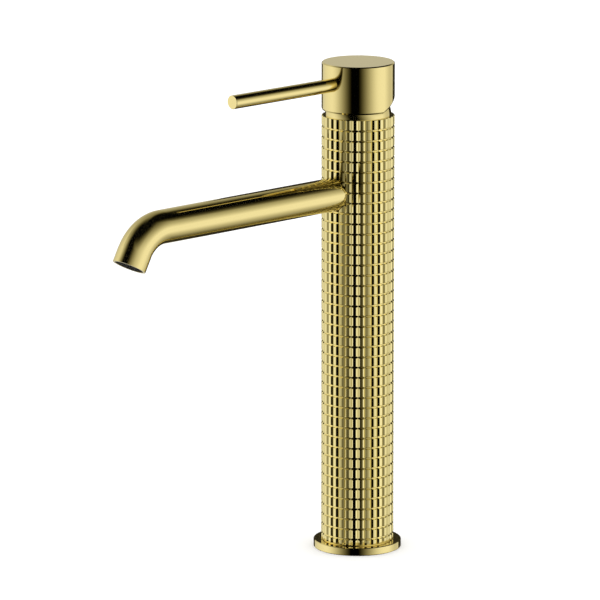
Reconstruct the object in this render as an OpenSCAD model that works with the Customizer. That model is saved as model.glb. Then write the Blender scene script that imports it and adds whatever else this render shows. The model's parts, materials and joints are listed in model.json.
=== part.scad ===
// Tall single-lever basin mixer: knurled column, long round spout and a pin lever.
// The origin is at the centre of the flange's underside, +Z is up and the spout points along -Y.
// All sizes are in millimetres.

/* [Column] */
// Diameter of the base flange
flange_d = 58; // [56:0.5:64]
// Thickness of the base flange
flange_h = 5.2; // [4.6:0.1:7]
// Diameter of the knurled sleeve over the crests of its ribs
sleeve_d = 48; // [47.6:0.1:49]
// Height of the knurled sleeve
sleeve_h = 285.8; // [240:0.1:320]
// Wall of the knurled sleeve under a crest
sleeve_wall = 2.4; // [2.2:0.1:2.8]
// Wall of the inner column
column_wall = 1.8; // [1.6:0.1:2]

/* [Knurl] */
// Number of upright ribs round the sleeve
rib_count = 32; // [24:1:36]
// Radius of each rib's rounded crest
rib_r = 3.2; // [3.1:0.1:5]
// Distance from one ring groove to the next
row_pitch = 6.85; // [6:0.05:9]
// Width of a ring groove
groove_w = 1.1; // [0.8:0.1:1.6]
// Depth of a ring groove below the crests
groove_depth = 0.85; // [0.7:0.05:0.9]
// Turn of the rib pattern about the column, in degrees
rib_turn = 7.5; // [0:0.5:11]

/* [Spout] */
// Outer diameter of the spout tube
spout_d = 22; // [20:0.5:22.5]
// Wall of the spout tube
spout_wall = 1.5; // [1.2:0.1:1.6]
// Height of the spout's axis below the top of the sleeve
spout_drop = 50.1; // [49:0.1:60]
// Length of the straight run, from the column's axis to the start of the bend
spout_run = 175.5; // [120:0.1:220]
// Radius of the bend, on the tube's centre line
bend_r = 26; // [18:0.5:40]
// Angle that the bend turns down, in degrees
bend_angle = 61; // [40:1:80]
// Length of the straight end after the bend
spout_tip = 9.9; // [9.5:0.1:25]

/* [Handle] */
// Diameter of the handle cap
cap_d = 48; // [47.6:0.1:50]
// Height of the handle cap
cap_h = 31.5; // [31:0.1:40]
// Gap between the sleeve's top and the cap, where the dome shows
cap_gap = 3.84; // [3:0.02:5]
// Diameter of the dome under the cap
dome_d = 43.6; // [43.4:0.1:44]
// Wall of the dome
dome_wall = 1.6; // [1.2:0.1:1.8]
// Diameter of the lever rod
lever_d = 9; // [7.5:0.1:10]
// Reach of the lever rod from the column's axis to its free end
lever_reach = 113; // [80:1:140]
// Height of the lever's axis below the top of the cap
lever_drop = 12.94; // [11.5:0.02:13.5]
// Angle that the lever lifts through, in degrees
lift_angle = 24; // [16:1:24]
// Slope of the cut under the back of the cap, in degrees
relief_angle = 25; // [22:1:26]

/* [Cartridge] */
// Outer diameter of the cartridge housing
cartridge_d = 35; // [34.6:0.1:35]
// Height of the housing, without its base
housing_h = 26; // [26:0.1:27]
// Height of the cartridge's base
base_h = 4.5; // [4:0.1:6]
// Thickness of each ceramic disc
disc_h = 3.2; // [2.8:0.1:3.3]
// Distance from the lift pivot down to the ball that moves the disc
ball_arm = 14; // [13.8:0.1:14.3]
// Width of the square stem that the cap is clamped on
stem_w = 8; // [7:0.1:8]
// Radius of the lift pivot pin
pivot_r = 2; // [1.8:0.1:2.4]

/* [Base and water ways] */
// Diameter of the hole through the flange
deck_hole_d = 34; // [30:0.5:36]
// Diameter of the fixing studs' threads
stud_d = 6; // [5:0.5:7]
// Distance of each fixing stud from the axis
stud_y = 14; // [13.5:0.1:14.4]
// Diameter of the hose ports' threads
port_d = 10; // [8:0.5:10]
// Distance of each hose port from the column's middle plane
port_x = 7.2; // [6.6:0.1:7.8]
// Diameter of the aerator that sits in the spout's mouth
aerator_d = 18.8; // [16:0.1:18.8]

/* [Hidden] */
$fn = 96;

eps = 0.05;        // a cut runs this far past a face
snug = 0.05;       // radial play between pieces that are fitted together
slack = 0.3;       // play between pieces that move against each other
edge = 0.4;        // small chamfer on machined edges

// Column
sleeve_r = sleeve_d / 2;
sleeve_top = flange_h + sleeve_h;
sleeve_in_r = sleeve_r - sleeve_wall;
column_r = sleeve_in_r - 2 * snug;
column_in_r = column_r - column_wall;
body_r = column_in_r - 2 * snug;
column_seat_z = flange_h / 2;
full_rows = floor(sleeve_h / row_pitch);
last_row_h = sleeve_h - full_rows * row_pitch;
groove_r = sleeve_r - groove_depth;

// Underside
gasket_w = 4;
gasket_in_r = column_r + 1.2;
gasket_r = gasket_in_r + gasket_w;
gasket_h = 1.5;
insert_h = 10;
hose_slot_w = 16;
hose_slot_l = 29;

spout_z = sleeve_top - spout_drop;

// Handle and pivot
pivot_drop = 0.5;
pivot_z = sleeve_top - pivot_drop;
dome_r = dome_d / 2;
dome_in_r = dome_r - dome_wall;
cap_r = cap_d / 2;
cap_z = sleeve_top + cap_gap;
cap_top = cap_z + cap_h;
cavity_r = dome_r + slack + 0.2;
lean = lift_angle / 2;
lever_z = cap_top - lever_drop;
lever_r = lever_d / 2;
lever_seat_y = cap_r - 4.5;
spigot_d = 6;
spigot_l = 5;
grub_d = 4;
key_r = 1.15;
stem_reach = 29;
stem_face_y = (lever_z - pivot_z) * tan(lean) + stem_w / 2 / cos(lean);
grub_y = stem_face_y + grub_d / 2 * tan(lean) + snug;
grub_l = lever_seat_y - spigot_l - slack - grub_y;
relief_y = -0.2;
stem_sweep = (dome_r + slack) * sin(lean) + stem_w / 2 / cos(lean);
dome_hole_r = norm([stem_w / 2, stem_sweep]) + slack;

// Cartridge, measured down from the pivot
housing_top = pivot_z - 3.5;
housing_r = cartridge_d / 2;
housing_wall = 2.3;
housing_in_r = housing_r - housing_wall;
lip_h = 3;
housing_z = housing_top - housing_h;
base_z = housing_z - base_h;
disc_travel = ball_arm * sin(lean);
fixed_disc_r = housing_in_r - 4 * snug;
moving_disc_z = housing_z + disc_h + snug;
moving_disc_r = housing_in_r - disc_travel - slack;
carrier_z = moving_disc_z + disc_h;
carrier_h = 3.5;
ball_r = 3.5;
ball_z = pivot_z - ball_arm;
boss_w = 15;
boss_top = ball_z + ball_r - 0.4;
turret_flange_r = housing_in_r - slack;
turret_z = carrier_z + carrier_h + slack;
turret_shoulder_z = housing_top - lip_h - 4 * snug;
turret_neck_r = 10.8;
turret_top = pivot_z + 4;
pocket_top = boss_top + 0.7;
pocket_y = boss_w / 2 + disc_travel + slack + 0.1;
eye_r = 5;
arm_r = 2.6;
ball_socket_drop = 0.8;
chamber_y = -1;
chamber_rim = 4;
nut_h = 4;
nut_hex_h = 3.5;
nut_hex_r = 16;
pin_inset = 0.6;
pin_play = 0.02;
nut_in_r = turret_neck_r + 1.2;
thread_r = housing_r + 0.9;

// Valve body
body_foot = 16.1;
body_z = spout_z - body_foot;
bore_gap = 0.1;
seat_groove_h = 1;
seal_w = 1.4;
port_l = 12;
outlet_way_r = 5;
skirt_h = 5.8;
skirt_z = sleeve_top - skirt_h;
skirt_r = sleeve_in_r - 4 * snug;

// O-rings between the column, the dome and the sleeve
ring_groove = 0.8;
ring_groove_w = 1.2;
ring_section = 0.85;
ring_play = 0.02;
ring_inset = 15;
sleeve_ring_zs = [flange_h + ring_inset, skirt_z - ring_inset];
dome_ring_z = skirt_z + skirt_h / 2;

// Spout
spout_r = spout_d / 2;
spout_in_r = spout_r - spout_wall;
spout_sink = 4.6;
spout_seat_y = body_r - spout_sink;
adapter_thread_r = 8;
adapter_thread_l = 9;
adapter_l = 18;
adapter_bore_r = outlet_way_r + 0.5;
adapter_r = spout_in_r - snug;
o_ring_t = 1.5;
o_ring_inset = 6;
o_ring_ys = [spout_seat_y + o_ring_inset, spout_seat_y + 2 * o_ring_inset];
o_ring_floor_r = spout_in_r - o_ring_t - snug;
bend_z = spout_z - bend_r;
fuse_l = 0.2;
fuse_step = 0.08;
aerator_recess = 0.8;
aerator_h = 6;
core_recess = 0.6;
core_h = 4.2;
regulator_h = 2;
washer_h = 1.4;
core_z = aerator_recess + core_recess;
regulator_z = core_z + core_h;
washer_z = regulator_z + regulator_h;
aerator_wall = 1.1;
core_r = aerator_d / 2 - aerator_wall - snug;
core_rim = 0.4;
cell_pitch = 2.6;
cell_r = 1;
regulator_holes = 8;
regulator_hole_r = 1.1;
way_r = 3.4;
port_y = 2.5;
outlet_y = 6.2;

// Places the spout's mouth: the origin goes to its centre and -Z leaves along the water's way.
module at_mouth() {
  translate([0, -spout_run, bend_z]) rotate([bend_angle - 90, 0, 0])
    translate([0, -bend_r, -spout_tip]) children();
}

// A cylinder along -Y, starting at a distance from the axis.
module forward(start, length, z) {
  translate([0, -start, z]) rotate([90, 0, 0]) linear_extrude(length) children();
}

// A flat ring.
module ring(outer, inner, h) {
  linear_extrude(h) difference() {
    circle(r = outer);
    circle(r = inner);
  }
}

// A round seal of a circular section, about Z.
module o_ring(middle_r, section) {
  rotate_extrude() translate([middle_r, 0]) circle(d = section, $fn = 24);
}

// A cylinder with its outer edges broken.
module edged_cylinder(r, h, chamfer) {
  rotate_extrude() polygon([[0, 0], [r - chamfer, 0], [r, chamfer], [r, h - chamfer],
                            [r - chamfer, h], [0, h]]);
}

// ---- Base and column ----

module base_flange() {
  color("goldenrod") difference() {
    edged_cylinder(flange_d / 2, flange_h, edge);
    translate([0, 0, -eps]) cylinder(d = deck_hole_d, h = flange_h + 2 * eps);
    translate([0, 0, column_seat_z]) cylinder(r = column_r + snug, h = flange_h);
    translate([0, 0, -eps]) ring(gasket_r, gasket_in_r, gasket_h + eps);
  }
}

module base_gasket() {
  color("dimgray") ring(gasket_r - snug, gasket_in_r + snug, gasket_h);
}

// The insert closes the column's foot: the hoses pass its slot and the studs screw into it.
module base_insert() {
  color("peru") translate([0, 0, column_seat_z]) linear_extrude(insert_h) difference() {
    circle(r = body_r);
    hose_slot();
    for (side = [-1, 1]) translate([0, side * stud_y]) circle(d = stud_d);
  }
}

module hose_slot() {
  half = (hose_slot_l - hose_slot_w) / 2;
  for (side = [-1, 1]) translate([side * half, 0]) circle(d = hose_slot_w);
  square([2 * half, hose_slot_w], center = true);
}

module inner_column() {
  column_top = skirt_z - 2 * snug;
  color("peru") difference() {
    translate([0, 0, column_seat_z]) ring(column_r, column_in_r, column_top - column_seat_z);
    for (z = sleeve_ring_zs) translate([0, 0, z])
      rotate_extrude() translate([column_r, 0]) square([2 * ring_groove, ring_groove_w], center = true);
    forward(0, column_r + 1, spout_z) circle(r = spout_r + snug);
  }
}

module sleeve_o_rings() {
  color("black") for (z = sleeve_ring_zs) translate([0, 0, z])
    o_ring(column_r - ring_groove + ring_section / 2 + ring_play, ring_section);
}

// Cross-section of the sleeve: rounded crests side by side round a plain core.
module rib_outline() {
  circle(r = groove_r);
  for (k = [0 : rib_count - 1])
    rotate(rib_turn - 90 + k * 360 / rib_count) translate([sleeve_r - rib_r, 0]) circle(r = rib_r);
}

// One row of the knurl, between two ring grooves.
module knurl_row(z, h) {
  translate([0, 0, z]) linear_extrude(h) rib_outline();
}

module knurled_sleeve() {
  row_h = row_pitch - groove_w;
  color("gold") difference() {
    union() {
      translate([0, 0, flange_h]) cylinder(r = groove_r, h = sleeve_h);
      for (i = [1 : full_rows]) knurl_row(sleeve_top - i * row_pitch + groove_w / 2, row_h);
      if (last_row_h > 2 * groove_w) knurl_row(flange_h + groove_w / 2, last_row_h - groove_w);
    }
    translate([0, 0, flange_h - eps]) cylinder(r = sleeve_in_r, h = sleeve_h + 2 * eps);
    forward(0, sleeve_r + 1, spout_z) circle(r = spout_r + 2 * snug);
  }
}

// ---- Valve body and spout ----

module valve_body() {
  color("peru") difference() {
    translate([0, 0, body_z]) cylinder(r = body_r, h = sleeve_top - body_z);
    // Cartridge bore and the nut's thread above it
    translate([0, 0, base_z]) cylinder(r = housing_r + bore_gap, h = sleeve_top - base_z + eps);
    translate([0, 0, housing_top]) cylinder(r = thread_r + snug, h = sleeve_top - housing_top + eps);
    // Hose ports, and the water ways up to the cartridge
    for (side = [-1, 1]) {
      translate([side * port_x, port_y, body_z - eps]) cylinder(d = port_d, h = port_l + eps);
      translate([side * port_x, port_y, body_z]) cylinder(r = way_r, h = base_z - body_z + eps);
    }
    // Mixed water down from the cartridge and out to the spout
    translate([0, -outlet_y, spout_z]) cylinder(r = outlet_way_r, h = base_z - spout_z + eps);
    forward(outlet_y, spout_seat_y, spout_z) circle(r = outlet_way_r);
    forward(spout_seat_y - adapter_thread_l - 0.5, adapter_thread_l + 1, spout_z)
      circle(r = adapter_thread_r + snug);
    forward(spout_seat_y, body_r, spout_z) circle(r = spout_r + snug);
  }
}

module spout_tube() {
  color("gold") difference() {
    spout_solid(spout_r, 0);
    spout_solid(spout_in_r, eps);
  }
}

// The spout's run, bend and tip as one solid of a given radius, its ends longer by extra. The tip
// reaches a little way back over the bend, and is wider by a hair, so that the two fuse.
module spout_solid(r, extra) {
  forward(spout_seat_y - extra, spout_run - spout_seat_y + extra, spout_z) circle(r = r);
  translate([0, -spout_run, bend_z]) rotate([0, 0, 180]) rotate([0, -90, 0])
    rotate_extrude(angle = bend_angle) translate([bend_r, 0]) circle(r = r);
  at_mouth() translate([0, 0, -extra]) cylinder(r = r + fuse_step, h = spout_tip + fuse_l + extra);
}

module spout_adapter() {
  color("peru") difference() {
    union() {
      forward(spout_seat_y - adapter_thread_l, adapter_thread_l + adapter_l, spout_z)
        circle(r = adapter_thread_r);
      forward(spout_seat_y + 0.5, adapter_l - 0.5, spout_z) circle(r = adapter_r);
    }
    forward(0, spout_seat_y + adapter_l + 1, spout_z) circle(r = adapter_bore_r);
    for (y = o_ring_ys) forward(y - o_ring_t / 2 - 2 * snug, o_ring_t + 4 * snug, spout_z)
      difference() {
        circle(r = adapter_r + 1);
        circle(r = o_ring_floor_r);
      }
  }
}

module spout_o_rings() {
  color("black") for (y = o_ring_ys)
    translate([0, -y, spout_z]) rotate([90, 0, 0]) o_ring(spout_in_r - o_ring_t / 2, o_ring_t - snug);
}

module aerator_shell() {
  color("silver") at_mouth() translate([0, 0, aerator_recess]) difference() {
    edged_cylinder(aerator_d / 2, aerator_h, edge / 2);
    translate([0, 0, -eps]) cylinder(r = core_r + snug, h = aerator_h + 2 * eps);
  }
}

// The jet insert is a plate of small round cells in rows.
module aerator_core() {
  reach = floor(core_r / cell_pitch);
  color("silver") at_mouth() translate([0, 0, core_z]) linear_extrude(core_h) difference() {
    circle(r = core_r);
    for (i = [-reach : reach]) for (j = [-reach : reach])
      if (norm([i, j]) * cell_pitch + cell_r < core_r - core_rim)
        translate([i * cell_pitch, j * cell_pitch]) circle(r = cell_r, $fn = 4);
  }
}

module flow_regulator() {
  color("seagreen") at_mouth() translate([0, 0, regulator_z]) linear_extrude(regulator_h)
    difference() {
      circle(r = core_r);
      for (k = [1 : regulator_holes]) rotate(k * 360 / regulator_holes)
        translate([core_r * 0.62, 0]) circle(r = regulator_hole_r);
    }
}

module aerator_gasket() {
  color("black") at_mouth() translate([0, 0, washer_z]) ring(aerator_d / 2, core_r - 1, washer_h);
}

// ---- Cartridge ----

// The two inlets and the mixed outlet, as they go through the base and the fixed disc.
module water_ports() {
  for (side = [-1, 1]) translate([side * port_x, port_y]) circle(r = way_r);
  translate([0, -outlet_y]) circle(r = way_r);
}

module cartridge_base() {
  color("white") difference() {
    translate([0, 0, base_z]) cylinder(r = housing_r, h = base_h);
    translate([0, 0, base_z - eps]) linear_extrude(base_h + 2 * eps) water_ports();
    translate([0, 0, base_z - eps]) linear_extrude(seat_groove_h + eps) seal_outline(0);
  }
}

// The seals' outline, round each of the ports.
module seal_outline(play) {
  for (side = [-1, 1]) translate([side * port_x, port_y]) circle(r = way_r + seal_w - play);
  translate([0, -outlet_y]) circle(r = way_r + seal_w - play);
}

module cartridge_seals() {
  color("black") translate([0, 0, base_z]) linear_extrude(seat_groove_h) difference() {
    seal_outline(snug);
    water_ports();
  }
}

module fixed_disc() {
  color("whitesmoke") translate([0, 0, housing_z]) linear_extrude(disc_h) difference() {
    circle(r = fixed_disc_r);
    water_ports();
  }
}

// The moving disc and its carrier stand back from the middle while the water is shut off.
module moving_disc() {
  color("whitesmoke") translate([0, disc_travel, moving_disc_z]) difference() {
    cylinder(r = moving_disc_r, h = disc_h);
    // Mixing chamber in the underside
    translate([0, chamber_y, -eps]) cylinder(r = moving_disc_r - chamber_rim, h = disc_h / 2);
  }
}

module disc_carrier() {
  color("dodgerblue") translate([0, disc_travel, 0]) difference() {
    union() {
      translate([0, 0, carrier_z]) cylinder(r = moving_disc_r, h = carrier_h);
      translate([-boss_w / 2, -boss_w / 2, carrier_z]) cube([boss_w, boss_w, boss_top - carrier_z]);
    }
    translate([0, 0, ball_z - ball_r - ball_socket_drop]) cylinder(r = ball_r + 2 * snug, h = 3 * ball_r);
  }
}

module cartridge_housing() {
  color("lightgray") difference() {
    translate([0, 0, housing_z]) cylinder(r = housing_r, h = housing_h);
    translate([0, 0, housing_z - eps]) cylinder(r = housing_in_r, h = housing_h - lip_h + eps);
    translate([0, 0, housing_z]) cylinder(r = turret_neck_r + slack, h = housing_h + eps);
  }
}

module turret() {
  pocket_x = boss_w / 2 + 4 * snug;
  slot_x = stem_w / 2 + 4 * snug;
  slot_y = eye_r + 2;
  color("dodgerblue") difference() {
    union() {
      translate([0, 0, turret_z]) cylinder(r = turret_flange_r, h = turret_shoulder_z - turret_z);
      translate([0, 0, turret_z]) cylinder(r = turret_neck_r, h = turret_top - turret_z);
    }
    translate([-pocket_x, -pocket_y, turret_z - eps])
      cube([2 * pocket_x, 2 * pocket_y, pocket_top - turret_z]);
    translate([-slot_x, -slot_y, turret_z]) cube([2 * slot_x, 2 * slot_y, turret_top]);
    translate([-turret_neck_r - 1, 0, pivot_z]) rotate([0, 90, 0])
      cylinder(r = pivot_r + pin_play, h = 2 * turret_neck_r + 2);
  }
}

module pivot_pin() {
  half = turret_neck_r - pin_inset;
  color("silver") translate([-half, 0, pivot_z]) rotate([0, 90, 0]) cylinder(r = pivot_r, h = 2 * half);
}

// The stem, its eye round the pin and its ball, leaning towards the lever at rest.
module spindle() {
  color("silver") translate([0, 0, pivot_z]) rotate([lean, 0, 0]) difference() {
    union() {
      translate([-stem_w / 2, 0, 0]) rotate([0, 90, 0]) cylinder(r = eye_r, h = stem_w);
      translate([-stem_w / 2, -stem_w / 2, 0]) cube([stem_w, stem_w, stem_reach]);
      translate([0, 0, -ball_arm]) cylinder(r = arm_r, h = ball_arm);
      translate([0, 0, -ball_arm]) sphere(r = ball_r);
    }
    translate([-stem_w, 0, 0]) rotate([0, 90, 0]) cylinder(r = pivot_r + snug, h = 2 * stem_w);
  }
}

module cartridge_nut() {
  color("peru") difference() {
    union() {
      translate([0, 0, housing_top]) cylinder(r = thread_r, h = nut_h);
      translate([0, 0, housing_top]) cylinder(r = nut_hex_r, h = nut_h + nut_hex_h, $fn = 6);
    }
    translate([0, 0, housing_top - eps]) cylinder(r = nut_in_r, h = nut_h + nut_hex_h + 2 * eps);
  }
}

// ---- Dome and handle ----

module dome_cover() {
  color("gold") difference() {
    union() {
      intersection() {
        translate([0, 0, pivot_z]) sphere(r = dome_r);
        translate([0, 0, sleeve_top]) cylinder(r = dome_r, h = dome_r);
      }
      translate([0, 0, skirt_z]) cylinder(r = skirt_r, h = sleeve_top - skirt_z + eps);
    }
    translate([0, 0, skirt_z - eps]) cylinder(r = body_r + snug, h = sleeve_top - skirt_z + eps);
    intersection() {
      translate([0, 0, pivot_z]) sphere(r = dome_in_r);
      translate([0, 0, sleeve_top]) cylinder(r = dome_r, h = dome_r);
    }
    translate([0, 0, pivot_z]) cylinder(r = dome_hole_r, h = dome_r + 1);
    translate([0, 0, dome_ring_z]) rotate_extrude() translate([skirt_r, 0])
      square([2 * ring_groove, ring_groove_w], center = true);
  }
}

module dome_o_ring() {
  color("black") translate([0, 0, dome_ring_z])
    o_ring(skirt_r - ring_groove + ring_section / 2 + ring_play, ring_section);
}

module handle_cap() {
  color("gold") difference() {
    translate([0, 0, cap_z]) edged_cylinder(cap_r, cap_h, edge);
    translate([0, 0, pivot_z]) sphere(r = cavity_r);
    // Slanted cut under the back, which clears the sleeve as the lever lifts
    translate([0, relief_y, cap_z]) rotate([relief_angle, 0, 0])
      translate([-cap_d, 0, -cap_d]) cube([2 * cap_d, cap_d, cap_d]);
    // Socket of the stem
    translate([0, 0, pivot_z]) rotate([lean, 0, 0]) translate([-stem_w / 2 - snug, -stem_w / 2 - snug, 0])
      cube([stem_w + 2 * snug, stem_w + 2 * snug, stem_reach + 2 * snug]);
    // Seat of the lever, its thread and the grub screw's thread
    forward(lever_seat_y, cap_r, lever_z) circle(r = lever_r + snug);
    forward(lever_seat_y - spigot_l - snug, cap_r, lever_z) circle(d = spigot_d + 2 * snug);
    forward(stem_w / 2, cap_r, lever_z) circle(d = grub_d + 2 * snug);
  }
}

module lever_rod() {
  color("gold") translate([0, -lever_seat_y - snug, lever_z]) rotate([90, 0, 0]) {
    edged_cylinder(lever_r, lever_reach - lever_seat_y - snug, edge / 2);
    translate([0, 0, -spigot_l]) cylinder(d = spigot_d, h = spigot_l + edge);
  }
}

module grub_screw() {
  key_depth = grub_l / 2;
  color("dimgray") translate([0, -grub_y, lever_z]) rotate([90, 0, 0]) difference() {
    cylinder(d = grub_d, h = grub_l);
    translate([0, 0, grub_l - key_depth]) cylinder(r = key_r, h = key_depth + eps, $fn = 6);
  }
}

base_flange();
base_gasket();
base_insert();
inner_column();
knurled_sleeve();
sleeve_o_rings();
valve_body();
spout_tube();
spout_adapter();
spout_o_rings();
aerator_shell();
aerator_core();
flow_regulator();
aerator_gasket();
cartridge_base();
cartridge_seals();
fixed_disc();
moving_disc();
disc_carrier();
cartridge_housing();
turret();
pivot_pin();
spindle();
cartridge_nut();
dome_cover();
dome_o_ring();
handle_cap();
lever_rod();
grub_screw();
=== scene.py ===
"""Tall gold basin mixer: looks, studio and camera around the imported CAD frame."""
import json
import math

import bmesh
import bpy
from mathutils import Matrix, Vector


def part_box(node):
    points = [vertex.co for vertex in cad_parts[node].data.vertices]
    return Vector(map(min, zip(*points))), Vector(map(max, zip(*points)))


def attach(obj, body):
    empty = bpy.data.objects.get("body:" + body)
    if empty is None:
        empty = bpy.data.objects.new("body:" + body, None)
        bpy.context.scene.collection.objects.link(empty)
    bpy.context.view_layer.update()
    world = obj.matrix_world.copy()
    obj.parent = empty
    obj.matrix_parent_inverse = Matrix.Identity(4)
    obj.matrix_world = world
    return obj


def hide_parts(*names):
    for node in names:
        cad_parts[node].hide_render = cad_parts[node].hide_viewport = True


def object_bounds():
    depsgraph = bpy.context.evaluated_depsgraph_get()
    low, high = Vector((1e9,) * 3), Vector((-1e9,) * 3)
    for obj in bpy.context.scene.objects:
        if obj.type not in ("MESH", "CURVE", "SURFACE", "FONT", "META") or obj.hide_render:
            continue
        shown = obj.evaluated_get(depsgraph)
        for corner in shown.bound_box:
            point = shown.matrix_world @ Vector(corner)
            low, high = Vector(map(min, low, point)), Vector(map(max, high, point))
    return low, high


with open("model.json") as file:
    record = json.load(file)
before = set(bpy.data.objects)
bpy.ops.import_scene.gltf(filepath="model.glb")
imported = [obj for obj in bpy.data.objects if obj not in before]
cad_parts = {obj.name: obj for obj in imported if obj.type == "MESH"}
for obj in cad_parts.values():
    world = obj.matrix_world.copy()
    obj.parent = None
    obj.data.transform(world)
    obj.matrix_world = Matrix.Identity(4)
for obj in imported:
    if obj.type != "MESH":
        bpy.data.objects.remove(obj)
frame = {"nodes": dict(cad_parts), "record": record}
cad_low, cad_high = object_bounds()
MM = 0.001

# ---------------------------------------------------------------- camera

# The photograph's camera, solved from the column's grooves, the round rims and the edges of the
# spout and the rod. Lengths are in metres.
CAM_AZIMUTH = math.radians(46.1)    # round from the spout's side
CAM_PITCH = math.radians(12.331)    # how far it looks down
CAM_DISTANCE = 3.7925
CAM_ASIDE = -0.03804                # it looks at a point this far right of the column's axis
CAM_HEIGHT = 0.16677                # and this high
FOCAL_PX = 5754.6
FRAME_PX = 600
SENSOR_MM = 36

cam_right = Vector((math.cos(CAM_AZIMUTH), math.sin(CAM_AZIMUTH), 0))
cam_front = Vector((math.sin(CAM_AZIMUTH), -math.cos(CAM_AZIMUTH), 0))
cam_back = cam_front * math.cos(CAM_PITCH) + Vector((0, 0, math.sin(CAM_PITCH)))


def make_camera():
    data = bpy.data.cameras.new("camera")
    data.sensor_width = SENSOR_MM
    data.lens = FOCAL_PX * SENSOR_MM / FRAME_PX
    cam = bpy.data.objects.new("camera", data)
    bpy.context.collection.objects.link(cam)
    target = cam_right * CAM_ASIDE + Vector((0, 0, CAM_HEIGHT))
    cam.location = target + cam_back * CAM_DISTANCE
    cam.rotation_mode = "QUATERNION"
    cam.rotation_quaternion = cam_back.to_track_quat("Z", "Y")
    bpy.context.scene.camera = cam


# ---------------------------------------------------------------- meshes

def add_object(name, bm, material=None):
    """Puts a finished bmesh into the scene."""
    mesh = bpy.data.meshes.new(name)
    bm.to_mesh(mesh)
    bm.free()
    obj = bpy.data.objects.new(name, mesh)
    bpy.context.collection.objects.link(obj)
    if material:
        mesh.materials.append(material)
    return obj


def combine(obj, tool, operation):
    """Cuts or trims obj with the tool, which is then removed."""
    step = obj.modifiers.new(operation.lower(), "BOOLEAN")
    step.object = tool
    step.operation = operation
    step.solver = "EXACT"
    depsgraph = bpy.context.evaluated_depsgraph_get()
    result = bpy.data.meshes.new_from_object(obj.evaluated_get(depsgraph))
    obj.modifiers.clear()
    obj.data = result
    bpy.data.objects.remove(tool)


def shade(mesh, smooth_under):
    """Shades faces that meet at less than this angle as one."""
    for face in mesh.polygons:
        face.use_smooth = True
    mesh.set_sharp_from_angle(angle=smooth_under)


def polar(radius, angle, height):
    """The point at this radius from Z, at this angle round it."""
    return radius * math.cos(angle), radius * math.sin(angle), height


def facing(direction):
    """The turn that takes Z to a direction."""
    return direction.to_track_quat("Z", "Y").to_matrix().to_4x4()


# ---------------------------------------------------------------- node arithmetic

class Num:
    """A shader value that can be written in sums: each step becomes a Math node."""

    def __init__(self, tree, source):
        self.tree = tree
        self.source = source

    def step(self, operation, *others, clamp=False):
        node = self.tree.nodes.new("ShaderNodeMath")
        node.operation = operation
        node.use_clamp = clamp
        for socket, value in zip(node.inputs, (self, *others)):
            plug(self.tree, socket, value)
        return Num(self.tree, node.outputs[0])

    def __add__(self, other):
        return self.step("ADD", other)

    def __sub__(self, other):
        return self.step("SUBTRACT", other)

    def __rsub__(self, other):
        return (self * -1) + other

    def __mul__(self, other):
        return self.step("MULTIPLY", other)

    def __truediv__(self, other):
        return self.step("DIVIDE", other)

    def __abs__(self):
        return self.step("ABSOLUTE")

    def power(self, other):
        return self.step("POWER", other)

    def least(self, other):
        return self.step("MINIMUM", other)

    def most(self, other):
        return self.step("MAXIMUM", other)

    def soft_least(self, other, blend):
        return self.step("SMOOTH_MIN", other, blend)

    def unit(self):
        """The value, held between 0 and 1."""
        return self.step("ADD", 0.0, clamp=True)

    def wrapped(self):
        """The same angle in degrees, from -180 to 180."""
        return self.step("WRAP", 180.0, -180.0)


def plug(tree, socket, value):
    """Links a Num or a socket, or sets a plain number."""
    if isinstance(value, Num):
        tree.links.new(value.source, socket)
    elif isinstance(value, bpy.types.NodeSocket):
        tree.links.new(value, socket)
    else:
        socket.default_value = value


def dot(tree, vector, constant):
    node = tree.nodes.new("ShaderNodeVectorMath")
    node.operation = "DOT_PRODUCT"
    tree.links.new(vector, node.inputs[0])
    node.inputs[1].default_value = constant
    return Num(tree, node.outputs["Value"])


def principled(name):
    material = bpy.data.materials.new(name)
    material.use_nodes = True
    tree = material.node_tree
    return material, tree, tree.nodes["Principled BSDF"]


# ---------------------------------------------------------------- studio

# The studio that the metal mirrors, by direction: azimuth is counted from the camera's side to
# the right, elevation from the horizon, both in degrees. Levels are as a screen shows them. The
# values are set so that what the metal mirrors is as light and as dark as in the photograph.
FLAG_AZIMUTH = -9.0       # middle of the black flag behind the camera
FLAG_HALF = 9.6           # half of the flag's width
FLAG_LEAN = 0.568         # degrees that the flag leans to the left for each degree up
FLAG_WIDENING = 0.114     # degrees that each half of it widens by for each degree up
RISE = 81.0               # degrees from the flag's edge to full light
RISE_POWER = 0.82
LEVEL_EL = -12.0          # elevation of the camera's look, mirrored by an upright wall
WALL_LEVEL = 0.976        # level of the light walls at the horizon
WALL_FALL = (0.0012, 0.0130)    # loss for each degree up, on the left and on the right
WALL_BLEND = 0.12         # softens the step from the flag's rise to the walls
TOP_EL = 75.5             # elevation at which the walls' light ends, a quarter round
TOP_SWING = 17.3          # it ends this much lower at the front, and higher at the back
TOP_AZIMUTH = 6.0         # it ends lowest here
TOP_EDGE = 0.0188         # gain for each degree below the light's end
BELOW_EL = -20.0          # the light from below fades from here down
BELOW_FALL = 0.0119       # loss for each degree further down
BELOW_END = -61.0         # no light comes from below this
BELOW_EDGE = 0.04         # gain for each degree above that end, at most
SIDE_AZIMUTH = 92.0       # the side walls fade from here to the back
SIDE_FALL = (0.0016, 0.0067)    # loss for each degree, on the left and on the right
BACK_LEVEL = 0.83         # the fade stops at this share of the light
LOBE_AZIMUTH = 126.0      # dark ceiling panel, to the right and behind the object
LOBE_EL = 90.0
LOBE_HALF = (33.0, 46.0)  # half of its width and of its height
LOBE_EDGE = 0.7           # width of its soft edge, as a share of its half
GAMMA = 2.2
WARMTH = (1.0, 1.03, 1.22)      # powers for red, green and blue: dim light is warmer
FLOOR_LIGHT = 1.25        # plain light on the floor and all that isn't mirrored

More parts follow.
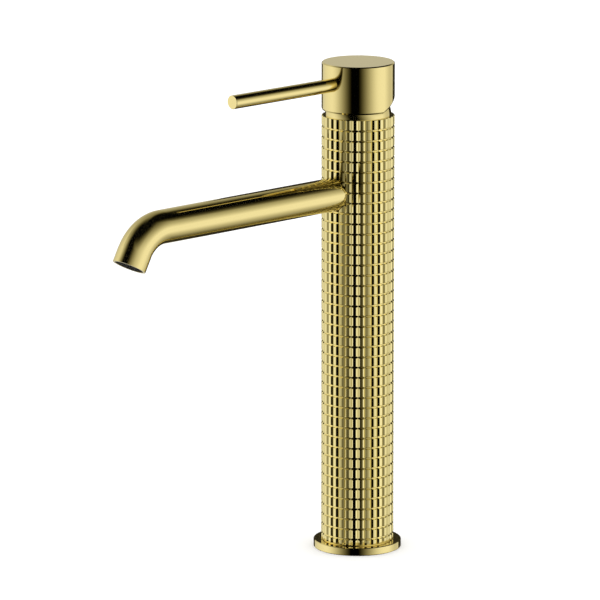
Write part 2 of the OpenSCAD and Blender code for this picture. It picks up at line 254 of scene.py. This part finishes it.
CARD_LEFT, CARD_RIGHT = -95 * MM, 135 * MM      # black card, from the column's axis
CARD_BEHIND = 120 * MM
CARD_TOP = 334 * MM
CARD_FOOT = -90 * MM      # the floor isn't mirrored, so the card goes on below it
CARD_COLOUR = (0.028, 0.025, 0.016, 1)

FLOOR_HALF = 15
FLOOR_DROP = 0.02 * MM    # keeps the floor clear of the flange's underside
WHITE = (1, 1, 1, 1)


def studio_level(tree, direction):
    """The light that comes from a direction, from 0 to 1, in display terms."""
    deg = 180 / math.pi
    across = dot(tree, direction, cam_right)
    along = dot(tree, direction, cam_front)
    azimuth = across.step("ARCTAN2", along) * deg
    elevation = dot(tree, direction, (0, 0, 1)).step("ARCSINE") * deg
    raised = elevation - LEVEL_EL
    side = (azimuth * (1 / deg)).step("SINE")

    from_flag = ((azimuth - FLAG_AZIMUTH) + raised * FLAG_LEAN).wrapped()
    beside = (abs(from_flag) - (raised * FLAG_WIDENING + FLAG_HALF)).most(0.0)
    rise = ((beside / RISE).least(1.0) * (math.pi / 2)).step("SINE").power(RISE_POWER)

    top = TOP_EL - ((azimuth - TOP_AZIMUTH) * (1 / deg)).step("COSINE") * TOP_SWING
    above = WALL_LEVEL - elevation * between(side, WALL_FALL)
    above = above.least(((top - elevation) * TOP_EDGE).most(0.0))
    below = (elevation - BELOW_EL) * BELOW_FALL + 1.0
    below = below.least((elevation - BELOW_END) * BELOW_EDGE)
    wall = above.least(below.most(0.0)).least(1.0)

    fade = (abs(azimuth) - SIDE_AZIMUTH).most(0.0) * between(side, SIDE_FALL)
    sideways = (1.0 - fade).most(BACK_LEVEL)

    off_lobe = (azimuth - LOBE_AZIMUTH).wrapped() / LOBE_HALF[0]
    over_lobe = (elevation - LOBE_EL) / LOBE_HALF[1]
    from_lobe = (off_lobe * off_lobe + over_lobe * over_lobe).step("SQRT")
    lobe = ((from_lobe - 1.0) / LOBE_EDGE).unit()

    return rise.soft_least(wall, WALL_BLEND) * sideways * lobe


def between(side, ends):
    """A value that goes from the left wall's to the right wall's."""
    left, right = ends
    return side * ((right - left) / 2) + (left + right) / 2


def warm_light(tree, level):
    """Turns a display level into light: the dimmer it is, the warmer."""
    linear = level.most(0.0).power(GAMMA)
    colour = tree.nodes.new("ShaderNodeCombineColor")
    for socket, exponent in zip(colour.inputs, WARMTH):
        plug(tree, socket, linear.power(exponent))
    return colour.outputs[0]


def make_world():
    """The metal mirrors the studio, and all else is lit by plain white light."""
    world = bpy.data.worlds.new("studio")
    bpy.context.scene.world = world
    world.use_nodes = True
    tree = world.node_tree
    tree.nodes.clear()
    coords = tree.nodes.new("ShaderNodeTexCoord")
    rays = tree.nodes.new("ShaderNodeLightPath")
    mirrored = tree.nodes.new("ShaderNodeBackground")
    level = studio_level(tree, coords.outputs["Generated"])
    plug(tree, mirrored.inputs["Color"], warm_light(tree, level))
    white = tree.nodes.new("ShaderNodeBackground")
    white.inputs["Color"].default_value = WHITE
    white.inputs["Strength"].default_value = FLOOR_LIGHT
    mix = tree.nodes.new("ShaderNodeMixShader")
    tree.links.new(rays.outputs["Is Glossy Ray"], mix.inputs["Fac"])
    tree.links.new(white.outputs[0], mix.inputs[1])
    tree.links.new(mirrored.outputs[0], mix.inputs[2])
    out = tree.nodes.new("ShaderNodeOutputWorld")
    tree.links.new(mix.outputs[0], out.inputs["Surface"])


def matt(name, colour):
    """A material that mirrors nothing."""
    material, _, shader = principled(name)
    shader.inputs["Base Color"].default_value = colour
    shader.inputs["Roughness"].default_value = 1
    shader.inputs["Specular IOR Level"].default_value = 0
    return material


def make_floor():
    """A white floor, which the metal doesn't mirror."""
    bm = bmesh.new()
    bmesh.ops.create_grid(bm, x_segments=1, y_segments=1, size=FLOOR_HALF)
    floor = add_object("floor", bm, matt("floor_paper", WHITE))
    floor.location.z = cad_low.z - FLOOR_DROP
    floor.visible_glossy = False


def make_card():
    """A black card close behind the faucet, which only the metal mirrors."""
    width, height = CARD_RIGHT - CARD_LEFT, CARD_TOP - CARD_FOOT
    bm = bmesh.new()
    bmesh.ops.create_grid(bm, x_segments=1, y_segments=1, size=0.5,
                          matrix=Matrix.Diagonal((width, height, 1, 1)))
    card = add_object("card", bm, matt("black_card", CARD_COLOUR))
    middle = (cam_right * ((CARD_RIGHT + CARD_LEFT) / 2) - cam_front * CARD_BEHIND
              + Vector((0, 0, CARD_FOOT + height / 2)))
    card.matrix_world = Matrix.Translation(middle) @ facing(cam_front)
    card.visible_camera = False
    card.visible_diffuse = False
    card.visible_shadow = False


# ---------------------------------------------------------------- materials

GOLD = (0.93, 0.785, 0.35)
# The sleeve's gold is the same plating as GOLD, painted lighter: painted light that makes the
# knurled sleeve look brighter lit than the rest.
KNURL_GOLD_PAINTED_LIGHTER = (0.985, 0.855, 0.40)

# Noise scales are per metre.
GRAIN_SCALE, GRAIN_DETAIL = 900, 2.0    # polishing marks on the plating
CLOUD_SCALE = 40
PLATE_SPREAD = 0.015                    # share by which the plating's colour varies, both ways
ROUGH_GRAIN, ROUGH_CLOUDS = 0.02, 0.012     # range of roughness that each of the two gives
GRAIN_BUMP, GRAIN_DEPTH = 0.012, 0.01 * MM
TONE_SCALE, TEXTURE_SCALE = 400, 2500   # moulded and machined surfaces
ROUGH_TONE = 0.12
TEXTURE_DEPTH = 0.05 * MM


def noise(tree, scale, stretch=(1, 1, 1), detail=3.0):
    """Noise in object space, as a Num, with its scale multiplied along each axis."""
    coords = tree.nodes.new("ShaderNodeTexCoord")
    mapping = tree.nodes.new("ShaderNodeMapping")
    mapping.inputs["Scale"].default_value = stretch
    tree.links.new(coords.outputs["Object"], mapping.inputs["Vector"])
    tex = tree.nodes.new("ShaderNodeTexNoise")
    tex.inputs["Scale"].default_value = scale
    tex.inputs["Detail"].default_value = detail
    tree.links.new(mapping.outputs[0], tex.inputs["Vector"])
    return Num(tree, tex.outputs["Fac"])


def vary_colour(tree, shader, colour, spread, tone):
    """Lets the tone vary the colour by a share of itself, both ways."""
    mix = tree.nodes.new("ShaderNodeMix")
    mix.data_type = "RGBA"
    plug(tree, mix.inputs["Factor"], tone)
    mix.inputs["A"].default_value = (*(c * (1 - spread) for c in colour), 1)
    mix.inputs["B"].default_value = (*(min(1, c * (1 + spread)) for c in colour), 1)
    tree.links.new(mix.outputs["Result"], shader.inputs["Base Color"])


def add_bump(tree, shader, height, strength, distance):
    bump = tree.nodes.new("ShaderNodeBump")
    bump.inputs["Strength"].default_value = strength
    bump.inputs["Distance"].default_value = distance
    plug(tree, bump.inputs["Height"], height)
    tree.links.new(bump.outputs[0], shader.inputs["Normal"])


def gold(name, roughness, grain, colour=GOLD):
    """Gold plating with a fine grain along the way that the piece was polished."""
    material, tree, shader = principled(name)
    shader.inputs["Metallic"].default_value = 1
    lines = noise(tree, GRAIN_SCALE, grain, GRAIN_DETAIL)
    clouds = noise(tree, CLOUD_SCALE)
    vary_colour(tree, shader, colour, PLATE_SPREAD, clouds)
    smoothest = roughness - (ROUGH_GRAIN + ROUGH_CLOUDS) / 2
    plug(tree, shader.inputs["Roughness"], lines * ROUGH_GRAIN + clouds * ROUGH_CLOUDS + smoothest)
    add_bump(tree, shader, lines, GRAIN_BUMP, GRAIN_DEPTH)
    return material


def plain(name, colour, roughness, metallic=0.0, speckle=0.15, bump=0.1, specular=0.5):
    """A moulded or machined surface: its colour varies a little and it has a fine texture."""
    material, tree, shader = principled(name)
    shader.inputs["Metallic"].default_value = metallic
    shader.inputs["Specular IOR Level"].default_value = specular
    tone = noise(tree, TONE_SCALE)
    vary_colour(tree, shader, colour, speckle, tone)
    plug(tree, shader.inputs["Roughness"], tone * ROUGH_TONE + (roughness - ROUGH_TONE / 2))
    add_bump(tree, shader, noise(tree, TEXTURE_SCALE), bump, TEXTURE_DEPTH)
    return material


def make_materials():
    return {
        "turned_gold": gold("turned_gold", 0.06, (0.2, 0.2, 6)),
        "drawn_gold": gold("drawn_gold", 0.06, (6, 0.2, 6)),
        # the knurled sleeve's gold is painted lighter than the rest: painted light, not a different
        # plating
        "knurled_gold": gold("knurled_gold", 0.045, (1, 1, 1), KNURL_GOLD_PAINTED_LIGHTER),
        "raw_brass": plain("raw_brass", (0.62, 0.46, 0.20), 0.32, metallic=1.0),
        "black_rubber": plain("black_rubber", (0.012, 0.012, 0.012), 0.6),
        "aerator_plastic": plain("aerator_plastic", (0.008, 0.008, 0.009), 0.25, specular=0.1),
        "regulator_plastic": plain("regulator_plastic", (0.03, 0.17, 0.09), 0.4),
        "white_plastic": plain("white_plastic", (0.62, 0.62, 0.58), 0.42),
        "blue_plastic": plain("blue_plastic", (0.01, 0.05, 0.26), 0.4),
        "ceramic": plain("ceramic", (0.75, 0.73, 0.68), 0.15, speckle=0.04, bump=0.03),
        "stainless_steel": plain("stainless_steel", (0.55, 0.55, 0.54), 0.3, metallic=1.0),
    }


DRAWN = ("spout_tube", "lever_rod")     # their grain runs along Y


def dress_nodes(materials):
    """Gives each CAD node its material, from the record's slots."""
    for sub in frame["record"]["subparts"]:
        node = frame["nodes"][sub["node"]]
        slot = sub["material_slot"]
        if slot == "polished_gold":
            slot = "drawn_gold" if sub["node"] in DRAWN else "turned_gold"
        node.data.materials.clear()
        node.data.materials.append(materials[slot])


# ---------------------------------------------------------------- knurled sleeve

SLEEVE_R = 24 * MM
SLEEVE_IN_R = 21.6 * MM
RIBS = 32
RIB_TURN = math.radians(6.83)       # the first crest's place, round from the spout's side
CREST_HALF = math.radians(2.45)     # half of a crest's width, as an angle round the axis
CREST_R = 12 * MM                   # a crest is rounder than the sleeve
FLANK = math.radians(33.7)          # slope of the flanks between two crests
CORNER = math.radians(0.16)         # half of the broken edge between a crest and a flank
ROW_PITCH = 6.858 * MM
GROOVE_DEPTH = 0.85 * MM
# Half of a ring groove, from its middle to its edge: (distance, share of the depth)
GROOVE_SIDE = ((0.20 * MM, 1), (0.50 * MM, 0.5), (0.80 * MM, 0))
# Undercut at the sleeve's foot, from the flange up: (distance, share of the depth)
FOOT_GROOVE = ((0, 1.2), (0.50 * MM, 1.2), (0.62 * MM, 0.1), (0.72 * MM, 0))
TOP_EDGE_UP, TOP_EDGE_SHARE = 0.15 * MM, 0.2    # broken edge at the top: height, share of the depth
KNURL_SMOOTH = math.radians(5)      # only the steps of one rounded crest are shaded as one face
HOLE_PLAY = 0.1 * MM                # round the spout
HOLE_SIDES = 96


def rib_stations():
    """Angles from a rib's crest at which the outline has a vertex, over one rib."""
    half = math.pi / RIBS
    side = (CREST_HALF * 0.5, CREST_HALF - CORNER, CREST_HALF + CORNER, (CREST_HALF + half) / 2,
            half - CORNER)
    return [-half, *(-a for a in reversed(side)), 0.0, *side]


def rib_radius(angle):
    """Radius of the ribbed outline, at an angle from a rib's crest."""
    across = min(abs(angle), CREST_HALF) * SLEEVE_R
    crest = SLEEVE_R - across ** 2 / 2 * (1 / CREST_R - 1 / SLEEVE_R)
    return crest - max(abs(angle) - CREST_HALF, 0) * SLEEVE_R * math.tan(FLANK)


def groove_stations(low, high):
    """(height, share of the groove's depth) up the sleeve, with the rows counted from its top."""
    stations = [(low + d, share) for d, share in FOOT_GROOVE]
    for row in range(int((high - low) / ROW_PITCH), 0, -1):
        middle = high - row * ROW_PITCH
        stations += [(middle - d, share) for d, share in reversed(GROOVE_SIDE)]
        stations += [(middle + d, share) for d, share in GROOVE_SIDE]
    return stations + [(high - TOP_EDGE_UP, 0), (high, TOP_EDGE_SHARE)]


def knurled_sleeve(material):
    """The column's sleeve: upright ribs, ring grooves up its height and the spout's hole."""
    low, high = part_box("knurled_sleeve")
    outline = [(RIB_TURN - math.pi / 2 + rib * 2 * math.pi / RIBS + offset, rib_radius(offset))
               for rib in range(RIBS) for offset in rib_stations()]
    bm = bmesh.new()

    def ring(height, limit):
        """The outline at a height, cut back to a limit."""
        return [bm.verts.new(polar(min(radius, limit), angle, height)) for angle, radius in outline]

    rings = [ring(height, SLEEVE_R - GROOVE_DEPTH * share)
             for height, share in groove_stations(low.z, high.z)]
    rings += [ring(height, SLEEVE_IN_R) for height in (high.z, low.z)]
    for a, b in zip(rings, rings[1:] + rings[:1]):
        for i in range(len(outline)):
            j = (i + 1) % len(outline)
            bm.faces.new((a[i], a[j], b[j], b[i]))
    bmesh.ops.recalc_face_normals(bm, faces=bm.faces)
    sleeve = add_object("sleeve_knurl", bm, material)
    cut_spout_hole(sleeve)
    shade(sleeve.data, KNURL_SMOOTH)
    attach(sleeve, "faucet")
    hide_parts("knurled_sleeve")


def cut_spout_hole(sleeve):
    low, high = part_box("spout_tube")
    tube_r = (high.x - low.x) / 2
    radius = tube_r + HOLE_PLAY
    middle = Matrix.Translation((0, -SLEEVE_R, high.z - tube_r))
    bm = bmesh.new()
    bmesh.ops.create_cone(bm, cap_ends=True, segments=HOLE_SIDES, radius1=radius, radius2=radius,
                          depth=SLEEVE_R, matrix=middle @ Matrix.Rotation(math.pi / 2, 4, "X"))
    combine(sleeve, add_object("spout_hole", bm), "DIFFERENCE")


# ---------------------------------------------------------------- handle cap

RELIEF_Y = -0.2 * MM                # the slanted cut under the cap's back starts here
RELIEF_SLOPE = math.tan(math.radians(25))
CAP_TOP_EDGE = 0.7 * MM
LIP_IN, LIP_UP = 0.5 * MM, 1.0 * MM     # width and height of the steep bevel round the cap's foot
LIP_PAST = 0.4                      # the bevel is cut past the foot by this share of itself
SKIN = 0.02 * MM                    # what the trim takes off the cap all round
CAP_STEPS = 240
CAP_SMOOTH = math.radians(25)
UPRIGHT = 0.01                      # the normal of an upright face rises less than this
WELD = 0.001 * MM                   # corners closer than this are one


def handle_cap(material):
    """The cap, trimmed to the broken edges that mirror the dark ceiling and floor."""
    low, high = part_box("handle_cap")
    radius, top = (high.x - low.x) / 2 - SKIN, high.z - SKIN

    def foot(r, angle):
        return low.z + max(0, r * math.sin(angle) - RELIEF_Y) * RELIEF_SLOPE

    bm = bmesh.new()
    columns = []
    for i in range(CAP_STEPS):
        angle = 2 * math.pi * i / CAP_STEPS
        upper, lower = foot(radius, angle) + LIP_UP, foot(radius - LIP_IN, angle)
        outline = ((radius - CAP_TOP_EDGE, top), (radius, top - CAP_TOP_EDGE), (radius, upper),
                   (radius - LIP_IN * (1 + LIP_PAST), lower - (upper - lower) * LIP_PAST))
        columns.append([bm.verts.new(polar(r, angle, z)) for r, z in outline])
    middle = bm.verts.new((0, 0, low.z - LIP_UP))
    for a, b in zip(columns, columns[1:] + columns[:1]):
        for i in range(len(a) - 1):
            bm.faces.new((a[i], a[i + 1], b[i + 1], b[i]))
        bm.faces.new((a[-1], middle, b[-1]))
    bm.faces.new([column[0] for column in columns])
    bmesh.ops.recalc_face_normals(bm, faces=bm.faces)
    cap = add_object("cap_body", bm, material)
    combine(cap, welded_copy("handle_cap"), "INTERSECT")
    shade(cap.data, CAP_SMOOTH)
    round_wall(cap.data, radius)
    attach(cap, "lever")
    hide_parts("handle_cap")


def round_wall(mesh, radius):
    """Shades the upright faces at this radius as a true cylinder, also where a hole cuts them."""
    normals = [corner.vector.copy() for corner in mesh.corner_normals]
    for face in mesh.polygons:
        corners = [(i, mesh.vertices[mesh.loops[i].vertex_index].co.xy) for i in face.loop_indices]
        at_wall = all(abs(xy.length - radius) < SKIN for _, xy in corners)
        if at_wall and abs(face.normal.z) < UPRIGHT:
            for i, xy in corners:
                normals[i] = xy.to_3d().normalized()
    mesh.normals_split_custom_set(normals)


def welded_copy(node):
    """A closed copy of a CAD node, whose corners are split for shading."""
    source = frame["nodes"][node]
    bm = bmesh.new()
    bm.from_mesh(source.data)
    bmesh.ops.remove_doubles(bm, verts=bm.verts, dist=WELD)
    copy = add_object(node + "_copy", bm)
    copy.matrix_world = source.matrix_world
    return copy


# ---------------------------------------------------------------- aerator

NET_CELL = 1.5 * MM                 # across the flats
NET_BAR = 0.14 * MM
NET_DEPTH = 0.5 * MM
NET_INSET = 0.20 * MM               # from the spout's mouth
NET_RIM = 0.6 * MM
NET_MARGIN = 0.3                    # a cell's middle lies this share of a cell inside the rim
RIM_SIDES = 64


def aerator_net(material):
    """The honeycomb in the spout's mouth and the rim round it."""
    low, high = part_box("aerator_shell")
    radius = (high.x - low.x) / 2
    inside = radius - NET_RIM
    bm = bmesh.new()
    ring_wall(bm, (0, 0), radius, inside, RIM_SIDES)
    outer = NET_CELL / math.sqrt(3)
    reach = int(inside / NET_CELL) + 1
    for row in range(-reach, reach + 1):
        for column in range(-reach, reach + 1):
            centre = Vector(((column + row / 2) * NET_CELL, row * NET_CELL * math.sqrt(3) / 2))
            if centre.length < inside - NET_CELL * NET_MARGIN:
                ring_wall(bm, centre, outer, outer - NET_BAR / math.sqrt(3), 6)
    outlet = next(m for m in frame["record"]["mounts"] if m["name"] == "water_outlet")
    axis = Vector(outlet["axis"])
    mouth = Matrix.Translation(Vector(outlet["pos_m"]) - axis * NET_INSET)
    bmesh.ops.transform(bm, matrix=mouth @ facing(axis), verts=bm.verts)
    net = add_object("aerator_net", bm, material)
    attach(net, "faucet")


def ring_wall(bm, centre, outer, inner, sides):
    """A flat ring with an upright wall on its inside and its outside."""
    turns = [math.pi / sides * (2 * k + 1) for k in range(sides)]
    loops = [[bm.verts.new((centre[0] + r * math.sin(t), centre[1] + r * math.cos(t), z))
              for t in turns]
             for r, z in ((outer, -NET_DEPTH), (outer, 0), (inner, 0), (inner, -NET_DEPTH))]
    for a, b in zip(loops, loops[1:]):
        for k in range(sides):
            bm.faces.new((a[k - 1], b[k - 1], b[k], a[k]))


# ---------------------------------------------------------------- scene

bpy.context.scene.view_settings.view_transform = "Standard"
make_camera()
make_world()
make_floor()
make_card()
materials = make_materials()
dress_nodes(materials)
knurled_sleeve(materials["knurled_gold"])
handle_cap(materials["turned_gold"])
aerator_net(materials["aerator_plastic"])
